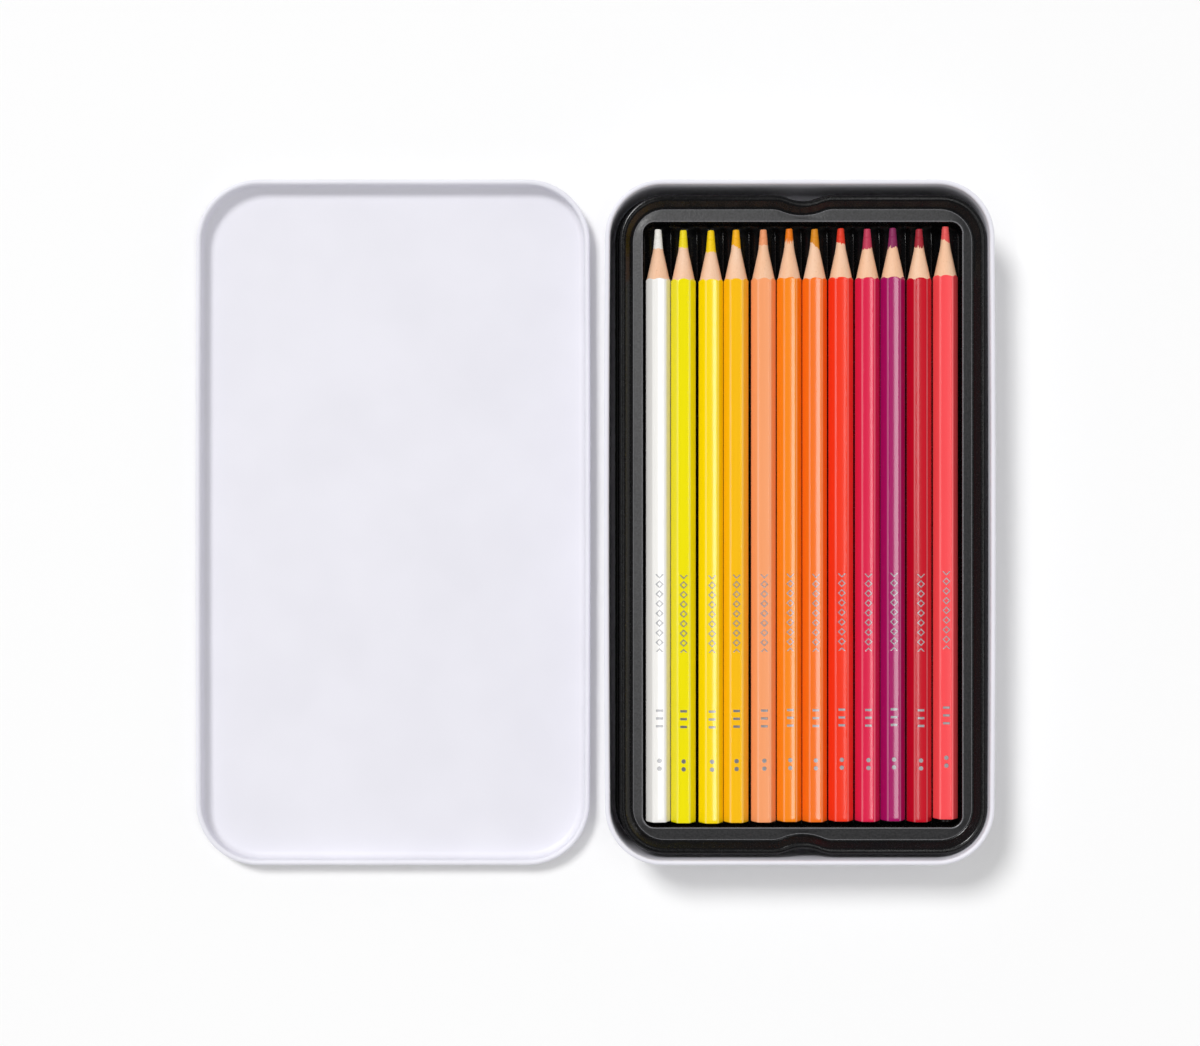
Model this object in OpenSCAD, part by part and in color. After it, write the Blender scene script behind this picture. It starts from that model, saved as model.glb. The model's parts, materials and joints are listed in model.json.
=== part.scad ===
// Two-layer tin of 24 coloured pencils: a base with an outward curled rim, a slip-on lid laid
// on its back beside it, and two loose trays that hold twelve hexagonal pencils each.
// The frame has +Z up and its origin on the table, under the middle of everything: the lid
// lies at -X, the base at +X, and the pencil points face +Y. All sizes are millimetres.

/* [Pencil] */
// Length of a pencil from its point to its cut end
pencil_l = 175; // [140:1:190]
// Width of a pencil across two opposite flats
pencil_flats = 6.7; // [6:0.1:7.6]
// How far each edge of the hexagon is rounded back towards the axis
edge_trim = 0.15; // [0.05:0.01:0.25]
// Diameter of the pigment core
core_d = 2.9; // [2:0.1:4]
// Film of glue round the core
glue_film = 0.03; // [0.02:0.01:0.1]
// Diameter of the blunt end of the point
tip_d = 1.9; // [0.6:0.05:2.1]
// Length of core that the sharpener has bared
bare_core = 6.1; // [3:0.1:8]
// Angle between the sharpened wood and the axis
wood_angle = 12.2; // [9:0.1:20]
// Angle between the cut edge of the lacquer and the axis
shoulder_angle = 30; // [20:1:60]
// How far inside the flats that steeper cut begins
shoulder_depth = 0.05; // [0.02:0.01:0.2]

/* [Tray grooves] */
// Gap between the edges of two neighbouring pencils
pencil_gap = 0.28; // [0.2:0.02:1.5]
// Clearance all round a pencil that lies in its groove
groove_play = 0.28; // [0.2:0.02:0.32]
// Clearance between a centred pencil and each end of the well
end_play = 1.6; // [1.2:0.05:6]
// Flat strip between the outermost groove and the side of the well
side_strip = 0.7; // [0.3:0.02:3]
// Depth of the crests between the grooves below the axis of the pencils
crest_drop = 1.3; // [1.2:0.05:2.2]

/* [Tray rim] */
// Thickness of the formed sheet
tray_sheet = 0.6; // [0.4:0.05:0.9]
// Radius of the upright corners of the well
well_corner_r = 3.5; // [2:0.1:6]
// Height of the ledge above the axis of the pencils
ledge_rise = 2.8; // [2:0.1:3.2]
// Width of the ledge along each long side
ledge_side = 3.2; // [2.5:0.1:5]
// Width of the ledge at each short end
ledge_end = 4; // [3:0.1:5]
// Width of the raised bead round the tray
bead_w = 3.7; // [3:0.1:4.5]
// Height of the bead above the ledge
bead_h = 2.2; // [1.2:0.1:2.6]
// Width of the flat on top of the bead
bead_flat = 0.8; // [0.4:0.1:1.2]
// Inner rounding of the outer edge of the bead
bead_round_in = 0.2; // [0.1:0.05:0.5]
// Outer corner radius of the tray
tray_corner_r = 13.5; // [11.5:0.5:18]
// Half the width of a finger notch
notch_half = 9; // [9:0.5:14]
// Depth of a finger notch
notch_depth = 1.8; // [1:0.1:2]

/* [Stacking] */
// Clearance between the lower tray and the floor of the tin
floor_gap = 0.2; // [0.1:0.05:0.5]
// Clearance between the lower pencils and the underside of the upper tray
stack_gap = 0.35; // [0.2:0.05:1]
// Clearance between the lower bead and the skirt of the upper tray
skirt_gap = 0.3; // [0.2:0.05:0.6]

/* [Tin base] */
// Thickness of the tinplate
tin_sheet = 0.35; // [0.25:0.05:0.5]
// Diameter of the base's outward curl
base_curl = 1.45; // [1.2:0.05:2.4]
// How much the wall of the base leans in towards its foot
base_lean = 0.5; // [0:0.1:0.8]
// Clearance between a centred tray and the mouth of the base, along each long side
side_play = 1.75; // [1.5:0.05:3]
// The same clearance at each short end
mouth_end_play = 2; // [1.5:0.05:3]
// Height of the base's rim above the bead of the upper tray
rim_rise = 2.55; // [1:0.05:8]
// Outer rounding between the floor and the wall of the base
base_fillet = 2; // [1:0.1:3]
// How far the loose upper tray has slid towards +X
upper_x = 1.2; // [-1.2:0.1:1.2]
// How far the loose upper tray has slid towards +Y
upper_y = -0.65; // [-1.2:0.05:1.2]

/* [Tin lid] */
// Clearance between the closed lid and the curl of the base, along each long side
lid_gap = 0.35; // [0.3:0.05:1]
// The same clearance at each short end
lid_end_gap = 0.85; // [0.3:0.05:1.5]
// Height of the lid
lid_h = 5.5; // [4.5:0.5:8]
// Diameter of the lid's outward curl
lid_curl = 1.6; // [1.2:0.1:2]
// Outer rounding between the panel and the wall of the lid
lid_fillet = 2.4; // [1.5:0.1:3]
// Gap between the lid and the base as they lie side by side
lid_away = 4.3; // [3:0.1:20]

/* [Hidden] */
// Each pencil: its colour's name, the lacquer, the core, and how far it has slid towards +Y
upper_set = [
    ["white", "#f4f2ee", "#f2efe8", -0.2],
    ["lemon", "#f4e600", "#f2dc1e", -0.4],
    ["yellow", "#fedd00", "#f8cf0c", -0.5],
    ["golden", "#fdc010", "#f6b21a", -0.3],
    ["peach", "#fca36c", "#f09c6c", -0.2],
    ["orange", "#fd8a0c", "#ee7c16", 0],
    ["tangerine", "#f97418", "#dc8c20", -0.1],
    ["scarlet", "#f9371a", "#e23c26", 0.1],
    ["magenta", "#e01f4b", "#c23c58", 0],
    ["plum", "#a80d63", "#8c2c5c", 0.2],
    ["crimson", "#c80a22", "#a82c38", -0.1],
    ["coral", "#fd5055", "#ea5a58", 0.7]
];
lower_set = [
    ["rose", "#ee5a92", "#dd6490", 0.3],
    ["violet", "#6b3494", "#5e3a80", -0.4],
    ["indigo", "#2b2f86", "#2c3074", 0.1],
    ["blue", "#1553b4", "#1c50a0", -0.2],
    ["sky", "#3ba0dd", "#4a9cce", 0.5],
    ["turquoise", "#0c9aa4", "#1c8e96", 0],
    ["green", "#13803f", "#1e763e", -0.3],
    ["leaf", "#66b32e", "#68a53a", 0.2],
    ["olive", "#6c7024", "#666a2c", 0],
    ["ochre", "#c98a26", "#ba822e", -0.5],
    ["brown", "#6e3d20", "#643c26", 0.2],
    ["black", "#202022", "#262628", 0]
];
tin_white = "#eeedf6";
tray_black = "#1d1d1f";

$fn = 48;

pencil_width = pencil_flats / cos(30) - 2 * edge_trim;

grooves = len(upper_set);
pitch = pencil_width + pencil_gap;
groove_r = pencil_width / 2 + groove_play;
axis_z = groove_r + tray_sheet;
crest_z = axis_z - crest_drop;
ledge_z = axis_z + ledge_rise;
bead_z = ledge_z + bead_h;
bead_round = bead_round_in + tray_sheet;

well_w = grooves * pitch + 2 * side_strip;
well_l = pencil_l + 2 * end_play;
tray_w = well_w + 2 * (ledge_side + bead_w);
tray_l = well_l + 2 * (ledge_end + bead_w);

stack_pitch = axis_z + pencil_flats / 2 + stack_gap;
skirt_z = bead_z + skirt_gap - stack_pitch;
lower_z = tin_sheet + floor_gap;
upper_z = lower_z + stack_pitch;

tin_w = tray_w + 2 * (side_play + base_curl);
tin_l = tray_l + 2 * (mouth_end_play + base_curl);
tin_h = upper_z + bead_z + rim_rise;
tin_corner_r = tray_corner_r + side_play + base_curl;

// A curl stands on the outer face of its wall, so the wall's inner face lies its diameter inside its edge
lid_w = tin_w + 2 * (lid_gap + lid_curl);
lid_l = tin_l + 2 * (lid_end_gap + lid_curl);
lid_corner_r = tin_corner_r + lid_gap + lid_curl;

spread = lid_w + lid_away + tin_w;
lid_x = (lid_w - spread) / 2;
tin_x = (spread - tin_w) / 2;
upper_at = [tin_x + upper_x, upper_y, upper_z];
lower_at = [tin_x, 0, lower_z];
cut = 1;

function node_names(set, piece) = [for (p = set) str(p[0], "_pencil_", piece)];

// A flat rectangle with true arcs at its corners
module rounded_rect(w, l, r) {
    square([w - 2 * r, l], center = true);
    square([w, l - 2 * r], center = true);
    for (x = [-1, 1], y = [-1, 1])
        translate([x * (w / 2 - r), y * (l / 2 - r)]) circle(r);
}

// Turns a section drawn with x inwards from the outer face into one that stands r out from a centre
module from_centre(r) {
    translate([r, 0]) mirror([1, 0]) children();
}

// Sweeps a section along one straight side, which faces +X and is centred on the X axis
module along_side(w, l, r) {
    translate([w / 2 - r, l / 2 - r, 0]) rotate([90, 0, 0])
        linear_extrude(l - 2 * r) from_centre(r) children();
}

// Sweeps a section round the two corners at +X
module round_corners(w, l, r) {
    for (end = [1, -1])
        translate([w / 2 - r, end * (l / 2 - r), 0])
            rotate_extrude(start = min(0, end * 90), angle = 90) from_centre(r) children();
}

// Sweeps a section round a rectangle with rounded corners: x runs inwards from the outer face
module around(w, l, r) {
    for (half = [0, 180]) rotate(half) {
        along_side(w, l, r) children();
        round_corners(w, l, r) children();
        rotate(90) along_side(l, w, r) children();
    }
}

// Half a short end with its finger notch: a straight stretch, then two arcs that meet tangentially
module half_notched_end(w, l, r) {
    turn = 2 * atan(notch_depth / notch_half);
    bend = notch_half / (2 * sin(turn));
    translate([notch_half, l / 2 - r, 0]) rotate([90, 0, 90])
        linear_extrude(w / 2 - r - notch_half) from_centre(r) children();
    translate([notch_half, l / 2 - bend, 0])
        rotate_extrude(start = 90, angle = turn) from_centre(bend) children();
    translate([0, l / 2 - notch_depth + bend, 0])
        rotate_extrude(start = -90, angle = turn) translate([bend, 0]) children();
}

// Sweeps a section round the notched outline of the tray
module around_notched(w, l, r) {
    for (half = [0, 180]) rotate(half) {
        along_side(w, l, r) children();
        round_corners(w, l, r) children();
        for (side = [0, 1]) mirror([side, 0, 0]) half_notched_end(w, l, r) children();
    }
}

// Section of a sheet wall that leans in towards its foot, under an open curl that is rolled outwards
module curled_wall(height, foot, curl, lean) {
    roll_z = height - curl / 2;
    polygon([
        [curl - tin_sheet, roll_z], [curl, roll_z],
        [curl + lean, foot], [curl + lean - tin_sheet, foot]
    ]);
    difference() {
        translate([curl / 2, roll_z]) circle(d = curl);
        translate([curl / 2, roll_z]) circle(d = curl - 2 * tin_sheet);
        translate([curl / 2, roll_z - curl / 2]) square(curl / 2);
    }
}

// Section of the rounding between a wall and a floor, with the floor's start at x = r
module foot_round(r) {
    intersection() {
        difference() {
            translate([r, r]) circle(r);
            translate([r, r]) circle(r - tin_sheet);
        }
        square(r);
    }
}

// A drawn pan of sheet with a curled edge, centred on the Z axis and standing on z = 0
module tin_pan(w, l, corner_r, height, curl, lean, fillet) {
    foot_in = curl + lean - tin_sheet;
    floor_in = foot_in + fillet;
    around(w, l, corner_r) {
        curled_wall(height, fillet, curl, lean);
        translate([foot_in, 0]) foot_round(fillet);
    }
    linear_extrude(tin_sheet) rounded_rect(w - 2 * floor_in, l - 2 * floor_in, corner_r - floor_in);
}

module tin_base() {
    color(tin_white) translate([tin_x, 0, 0])
        tin_pan(tin_w, tin_l, tin_corner_r, tin_h, base_curl, base_lean, base_fillet);
}

// The lid as it lies: its panel on the table and its open side up
module tin_lid() {
    color(tin_white) translate([lid_x, 0, 0])
        tin_pan(lid_w, lid_l, lid_corner_r, lid_h, lid_curl, 0, lid_fillet);
}

// Cylinders along the twelve grooves, r in radius
module groove_rods(r) {
    for (i = [0 : grooves - 1])
        translate([(i - (grooves - 1) / 2) * pitch, 0, axis_z]) rotate([90, 0, 0])
            cylinder(r = r, h = well_l + 2 * cut + 2 * tray_sheet, center = true);
}

// The well as a solid: grow is added to its outline and to its grooves, and its sides end at top
module well_form(grow, top) {
    span = [well_w + 2 * tray_sheet + 2 * cut, well_l + 2 * tray_sheet + 2 * cut];
    intersection() {
        linear_extrude(top) rounded_rect(well_w + 2 * grow, well_l + 2 * grow, well_corner_r + grow);
        union() {
            groove_rods(groove_r + grow);
            translate([-span[0] / 2, -span[1] / 2, crest_z - grow])
                cube([span[0], span[1], top - crest_z + grow + cut]);
        }
    }
}

// Section of the tray's skirt, bead and ledge
module rim_section() {
    slope = [bead_round + bead_flat, bead_w];
    reach = bead_w + max(ledge_side, ledge_end) - tray_sheet / 2;
    difference() {
        union() {
            translate([bead_round, bead_z - bead_round]) circle(bead_round);
            polygon([
                [0, skirt_z], [0, bead_z - bead_round], [bead_round, bead_z],
                [slope[0], bead_z], [slope[1], ledge_z], [reach, ledge_z],
                [reach, ledge_z - tray_sheet], [reach, skirt_z]
            ]);
        }
        translate([bead_round, bead_z - bead_round]) circle(bead_round_in);
        polygon([
            [tray_sheet, skirt_z - cut], [tray_sheet, bead_z - bead_round],
            [bead_round, bead_z - tray_sheet], [slope[0] - tray_sheet / 2, bead_z - tray_sheet],
            [slope[1] - tray_sheet / 2, ledge_z - tray_sheet],
            [reach + cut, ledge_z - tray_sheet], [reach + cut, skirt_z - cut]
        ]);
    }
}

// One tray, with the underside of its grooves at z = 0
module pencil_tray() {
    difference() {
        union() {
            around_notched(tray_w, tray_l, tray_corner_r) rim_section();
            well_form(tray_sheet, ledge_z);
        }
        well_form(0, bead_z + cut);
    }
}

module upper_tray() {
    color(tray_black) translate(upper_at) pencil_tray();
}

module lower_tray() {
    color(tray_black) translate(lower_at) pencil_tray();
}

// What the sharpener leaves: a solid of revolution on the Z axis, with the point at z = 0
module sharpened(r, l) {
    shoulder_r = pencil_flats / 2 - shoulder_depth;
    shoulder_z = bare_core + (shoulder_r - core_d / 2) / tan(wood_angle);
    rotate_extrude() polygon([
        [0, 0], [tip_d / 2, 0], [core_d / 2, bare_core], [shoulder_r, shoulder_z],
        [r, shoulder_z + (r - shoulder_r) / tan(shoulder_angle)], [r, l + cut], [0, l + cut]
    ]);
}

module hex_stick() {
    intersection() {
        cylinder(d = pencil_flats / cos(30), h = pencil_l, $fn = 6);
        cylinder(d = pencil_width, h = pencil_l);
    }
}

// The wooden casing on the Z axis, its point at z = 0
module casing() {
    difference() {
        intersection() {
            hex_stick();
            sharpened(pencil_flats, pencil_l);
        }
        translate([0, 0, -cut]) cylinder(d = core_d + 2 * glue_film, h = pencil_l + 2 * cut);
    }
}

// The pigment core on the Z axis, its point at z = 0
module core() {
    intersection() {
        cylinder(d = core_d, h = pencil_l);
        sharpened(pencil_flats, pencil_l);
    }
}

// Lays a pencil's piece in groove i of the tray at place, with its point towards +Y
module in_groove(i, slid, place) {
    translate(place) translate([(i - (grooves - 1) / 2) * pitch, pencil_l / 2 + slid, axis_z])
        rotate([90, 0, 0]) children();
}

module pencil_casing(set, i, place) {
    color(set[i][1]) in_groove(i, set[i][3], place) casing();
}

module pencil_core(set, i, place) {
    color(set[i][2]) in_groove(i, set[i][3], place) core();
}

tin_base();
tin_lid();
upper_tray();
lower_tray();
for (i = [0 : grooves - 1]) {
    pencil_casing(upper_set, i, upper_at);
    pencil_core(upper_set, i, upper_at);
    pencil_casing(lower_set, i, lower_at);
    pencil_core(lower_set, i, lower_at);
}
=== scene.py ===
# %% [markdown]
# # A two-layer tin of coloured pencils
# The real thing is a white lacquered tin: a base and a slip-on lid with rolled edges, two vacuum-formed
# black trays, and twelve hexagonal pencils in each. The CAD model gives the pieces their place and size.
# This notebook rebuilds each piece as a fine mesh in the room that the CAD piece takes, and gives it
# procedural materials. We start by loading the frame, because later cells measure it.

# %% Load the frame
import json
import math

import bmesh
import bpy
import numpy as np
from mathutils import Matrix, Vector, geometry

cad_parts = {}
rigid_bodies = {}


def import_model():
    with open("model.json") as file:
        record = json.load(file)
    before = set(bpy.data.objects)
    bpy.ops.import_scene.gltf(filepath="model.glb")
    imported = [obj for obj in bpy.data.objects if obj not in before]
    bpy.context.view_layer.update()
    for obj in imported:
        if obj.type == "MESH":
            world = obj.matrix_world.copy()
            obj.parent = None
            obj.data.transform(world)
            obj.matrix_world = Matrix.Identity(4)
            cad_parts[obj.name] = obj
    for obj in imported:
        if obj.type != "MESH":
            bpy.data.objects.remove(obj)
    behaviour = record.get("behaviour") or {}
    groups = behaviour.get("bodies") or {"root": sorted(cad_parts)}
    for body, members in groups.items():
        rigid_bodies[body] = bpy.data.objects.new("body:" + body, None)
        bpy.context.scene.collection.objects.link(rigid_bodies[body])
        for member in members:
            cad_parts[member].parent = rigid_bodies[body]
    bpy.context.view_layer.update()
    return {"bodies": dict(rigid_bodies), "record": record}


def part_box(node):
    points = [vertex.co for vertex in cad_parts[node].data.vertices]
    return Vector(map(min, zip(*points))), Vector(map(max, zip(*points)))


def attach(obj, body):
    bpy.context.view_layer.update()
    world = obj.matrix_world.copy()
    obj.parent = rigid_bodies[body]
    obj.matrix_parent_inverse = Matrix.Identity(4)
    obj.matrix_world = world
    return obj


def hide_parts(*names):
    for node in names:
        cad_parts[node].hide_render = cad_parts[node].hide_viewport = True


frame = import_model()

MM = 0.001
scene = bpy.context.scene


def add_object(name, data):
    """An object in the scene."""
    made = bpy.data.objects.new(name, data)
    scene.collection.objects.link(made)
    return made


# %% [markdown]
# ## The camera
# The tin is seen from straight above, from about two thirds of a metre. We work from the scale that the
# picture should have at the height of the pencils' axes, and turn it into a focal length. The camera looks
# down its own -Z by default, so it needs no turn at all.

# %% Camera
PICTURE_WIDE = 1200
PIXELS_PER_MM = 3.383
CAMERA_X = 2.77 * MM
CAMERA_Y = -0.17 * MM
CAMERA_HEIGHT = 650 * MM
SENSOR = 36

casing_low, casing_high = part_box("white_pencil_casing")
axis_height = (casing_low.z + casing_high.z) / 2
camera_data = bpy.data.cameras.new("camera")
camera_data.sensor_width = SENSOR
camera_data.lens = SENSOR * PIXELS_PER_MM * (CAMERA_HEIGHT - axis_height) / MM / PICTURE_WIDE
camera_data.clip_start = 10 * MM
camera = add_object("camera", camera_data)
camera.location = (CAMERA_X, CAMERA_Y, CAMERA_HEIGHT)
scene.camera = camera
scene.view_settings.view_transform = "Standard"
print("lens:", round(camera_data.lens, 1), "mm")

# %% [markdown]
# ## Small helpers for node trees
# A material or a Geometry Nodes tree is a list of nodes and a list of wires. A few helpers keep that
# short: they make a node and fill its sockets with numbers or with another node's output, do sums, and
# start a node group or a material.

# %% Node helpers
NUMBER = "NodeSocketFloat"
VECTOR = "NodeSocketVector"
GEOMETRY = "NodeSocketGeometry"


def feed(tree, node, values):
    """Fills a node's sockets: values maps a name or number to a value or to another node's output."""
    for socket, value in values.items():
        if isinstance(value, bpy.types.NodeSocket):
            tree.links.new(value, node.inputs[socket])
        else:
            node.inputs[socket].default_value = value


def add_node(tree, kind, values=None, **settings):
    """A node of that kind, with its properties set and its sockets filled."""
    made = tree.nodes.new(kind)
    for name, value in settings.items():
        setattr(made, name, value)
    feed(tree, made, values or {})
    return made


def maths(tree, operation, first, second=0.5, third=0.5):
    """The result of a Math node."""
    made = add_node(tree, "ShaderNodeMath", {0: first, 1: second, 2: third}, operation=operation)
    return made.outputs[0]


def times(tree, first, second):
    """The product of two values."""
    return maths(tree, "MULTIPLY", first, second)


def remap(tree, value, low, high, start=0.0, end=1.0, **settings):
    """A value that runs from low to high, mapped to run from start to end."""
    made = add_node(tree, "ShaderNodeMapRange", {0: value, 1: low, 2: high, 3: start, 4: end}, **settings)
    return made.outputs[0]


def new_group(name, inputs, kind="ShaderNodeTree", output="Value", output_type=NUMBER):
    """A node group with one output. inputs maps a name to a socket's type or to a number's default."""
    tree = bpy.data.node_groups.new(name, kind)
    for label, start in inputs.items():
        if isinstance(start, str):
            tree.interface.new_socket(label, in_out="INPUT", socket_type=start)
        else:
            socket = tree.interface.new_socket(label, in_out="INPUT", socket_type=NUMBER)
            socket.default_value = start
    tree.interface.new_socket(output, in_out="OUTPUT", socket_type=output_type)
    given = tree.nodes.new("NodeGroupInput").outputs
    return tree, given, tree.nodes.new("NodeGroupOutput").inputs[0]


def new_material(name):
    """A material and its tree, its Principled BSDF and the object coordinates of its surface."""
    material = bpy.data.materials.new(name)
    material.use_nodes = True
    tree = material.node_tree
    place = add_node(tree, "ShaderNodeTexCoord").outputs["Object"]
    return material, tree, tree.nodes["Principled BSDF"], place


def use_group(tree, group, place, **values):
    """The output of a group at a place. A value grain_size goes to the group's socket Grain Size."""
    sockets = {name.replace("_", " ").title(): value for name, value in values.items()}
    return add_node(tree, "ShaderNodeGroup", {0: place, **sockets}, node_tree=group).outputs[0]


print("node helpers ready")

# %% [markdown]
# ## Table, sky and lamps
# A white table under a white tin needs care: the surfaces must not clip, and the black plastic and the
# gloss of the lacquer need something dark and something bright to mirror. A sun with a wide disc, like a
# small softbox at the upper left, throws the soft shadow. Two long strip lamps beside the camera draw
# thin lines of light along the pencils' edges. The sky lights the tin from the horizon and from overhead,
# with a fill from the right. Mirrored rays see a much darker sky, which keeps the plastic black, and the
# camera sees plain white.

# %% Table, sky and lamps
KEY_DIRECTION = Vector((-0.5, 0.6, 1.0))
KEY_STRENGTH = 1.8
KEY_ANGLE = math.radians(17)
STRIP_HEIGHT = 0.9
STRIP_TILTS = (-20, 13.4)
STRIP_WIDE = 0.05
STRIP_LONG = 0.55
STRIP_POWER = 0.5
# A height in the sky is the Z of a direction: 0 at the horizon and 1 overhead.
LOW_SKY = 0.3
MIDDLE_SKY = 0.6
HIGH_SKY = 0.93
SKY_HORIZON = 0.58
SKY_SIDES = 0.26
SKY_OVERHEAD = 0.5
FILL_DIRECTION = Vector((0.9, -0.3, 0.35))
SKY_TOWARDS_FILL = 0.3
MIRRORED_SIDES = 0.13
MIRRORED_OVERHEAD = 0.04
TABLE_SIZE = 3.0
TABLE_WHITE = 0.95
TABLE_ROUGH = 0.7

table_material, tree, shader, place = new_material("white_table")
feed(tree, shader, {"Base Color": (TABLE_WHITE, TABLE_WHITE, TABLE_WHITE, 1), "Roughness": TABLE_ROUGH})

table_mesh = bpy.data.meshes.new("table")
half_table = TABLE_SIZE / 2
corners = [(x * half_table, y * half_table, 0) for x, y in ((-1, -1), (1, -1), (1, 1), (-1, 1))]
table_mesh.from_pydata(corners, [], [(0, 1, 2, 3)])
table_mesh.materials.append(table_material)
table = add_object("table", table_mesh)

world = bpy.data.worlds.new("studio")
scene.world = world
world.use_nodes = True
tree = world.node_tree
direction = add_node(tree, "ShaderNodeTexCoord").outputs["Generated"]
height = add_node(tree, "ShaderNodeSeparateXYZ", {0: direction}).outputs["Z"]
sides = remap(tree, height, MIDDLE_SKY, LOW_SKY, SKY_SIDES, SKY_HORIZON)
overhead = remap(tree, height, MIDDLE_SKY, HIGH_SKY, sides, SKY_OVERHEAD)
mirrored = remap(tree, height, MIDDLE_SKY, HIGH_SKY, MIRRORED_SIDES, MIRRORED_OVERHEAD)
towards = add_node(tree, "ShaderNodeVectorMath", {0: direction, 1: FILL_DIRECTION.normalized()},
                   operation="DOT_PRODUCT").outputs["Value"]
towards = maths(tree, "MAXIMUM", towards, 0)
fill = times(tree, times(tree, towards, towards), SKY_TOWARDS_FILL)
glow = maths(tree, "ADD", overhead, fill)
rays = add_node(tree, "ShaderNodeLightPath").outputs
for ray, strength in (("Is Glossy Ray", mirrored), ("Is Camera Ray", 1.0)):
    glow = add_node(tree, "ShaderNodeMix", {"Factor": rays[ray], 2: glow, 3: strength},
                    data_type="FLOAT").outputs[0]
feed(tree, tree.nodes["Background"], {"Color": (1, 1, 1, 1), "Strength": glow})

key_data = bpy.data.lights.new("key", "SUN")
key_data.energy = KEY_STRENGTH
key_data.angle = KEY_ANGLE
key = add_object("key", key_data)
key.rotation_euler = KEY_DIRECTION.to_track_quat("Z", "Y").to_euler()

for tilt in STRIP_TILTS:
    strip_data = bpy.data.lights.new("strip", "AREA")
    strip_data.shape = "RECTANGLE"
    strip_data.size = STRIP_WIDE
    strip_data.size_y = STRIP_LONG
    strip_data.energy = STRIP_POWER
    strip = add_object("strip", strip_data)
    strip.location = (STRIP_HEIGHT * math.tan(math.radians(tilt)), 0, STRIP_HEIGHT)
    strip.rotation_euler = (0, math.radians(tilt), 0)
print("lamps:", len(bpy.data.lights))

# %% [markdown]
# ## Effects that several materials share
# Each effect is a shader node group: it gives out only a mask or a height, and the material decides what
# to do with it. **Speckle** is fine noise, for the skin of lacquer and of moulded plastic. **Grain** is
# noise stretched along one coordinate, for wood. **Edge line** finds the corners of a hexagonal pencil
# from the way round it; the lacquer gets a painted highlight there, a paler line along each corner.
# **Foil marks** draws stamped silver marks: a chain of lozenges, three bars and two dots.

# %% Shader groups: speckle and grain
def make_speckle():
    """Fine noise from 0 to 1 with its own grain size in metres."""
    sockets = {"Vector": VECTOR, "Grain Size": 0.0005, "Low": 0.35, "High": 0.65}
    tree, given, result = new_group("Speckle", sockets)
    scale = maths(tree, "DIVIDE", 1, given["Grain Size"])
    spots = add_node(tree, "ShaderNodeTexNoise", {"Vector": given["Vector"], "Scale": scale,
                                                  "Detail": 2, "Roughness": 0.6})
    tree.links.new(remap(tree, spots.outputs["Fac"], given["Low"], given["High"]), result)
    return tree


def make_grain():
    """Streaks along Y, with so many of them to a metre across it and along it."""
    sockets = {"Vector": VECTOR, "Across": 2000.0, "Along": 120.0}
    tree, given, result = new_group("Grain", sockets)
    across, along = given["Across"], given["Along"]
    stretch = add_node(tree, "ShaderNodeCombineXYZ", {0: across, 1: along, 2: across})
    place = add_node(tree, "ShaderNodeVectorMath", {0: given["Vector"], 1: stretch.outputs[0]},
                     operation="MULTIPLY")
    streaks = add_node(tree, "ShaderNodeTexNoise", {"Vector": place.outputs[0], "Scale": 1.0,
                                                    "Detail": 4, "Roughness": 0.65, "Distortion": 0.3})
    tree.links.new(remap(tree, streaks.outputs["Fac"], 0.3, 0.7), result)
    return tree


speckle = make_speckle()
grain = make_grain()
print("groups:", [group.name for group in bpy.data.node_groups])

# %% Shader group: edge line
def make_edge_line():
    """1 on the corners of the hexagon. U is the way round in millimetres from the middle of a flat."""
    sockets = {"UV": VECTOR, "Spacing": 3.7, "Width": 0.3, "Soft": 0.25}
    tree, given, result = new_group("Edge line", sockets)
    way = add_node(tree, "ShaderNodeSeparateXYZ", {0: given["UV"]}).outputs["X"]
    half = maths(tree, "DIVIDE", given["Spacing"], 2)
    off = maths(tree, "SUBTRACT", half, maths(tree, "PINGPONG", way, half))
    soft = maths(tree, "ADD", given["Width"], given["Soft"])
    line = remap(tree, off, given["Width"], soft, 1.0, 0.0, interpolation_type="SMOOTHSTEP")
    tree.links.new(line, result)
    return tree


def band(tree, value, middle, half, soft):
    """1 where value is within half of middle, 0 beyond a soft edge."""
    off = maths(tree, "ABSOLUTE", maths(tree, "SUBTRACT", value, middle))
    return remap(tree, off, half, half + soft, 1.0, 0.0)


# Places and sizes of the foil marks, in millimetres from the pencil's cut end
CHAIN_START = 50.2
CHAIN_MIDDLE = 61.7
CHAIN_HALF = 11.4
LOZENGE_PITCH = 2.85
LOZENGE_SIZE = 0.95
LOZENGE_LINE = 0.13
BARS_MIDDLE = 30.7
BARS_HALF = 3.0
BARS_FOLD = 1.15
BAR_THICK = 0.25
BAR_LONG = 0.9
DOTS_MIDDLE = 17.1
DOT_AWAY = 1.15
DOT_RADIUS = 0.55
FOIL_SOFT = 0.16
CUT_OFF = 0.01


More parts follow.
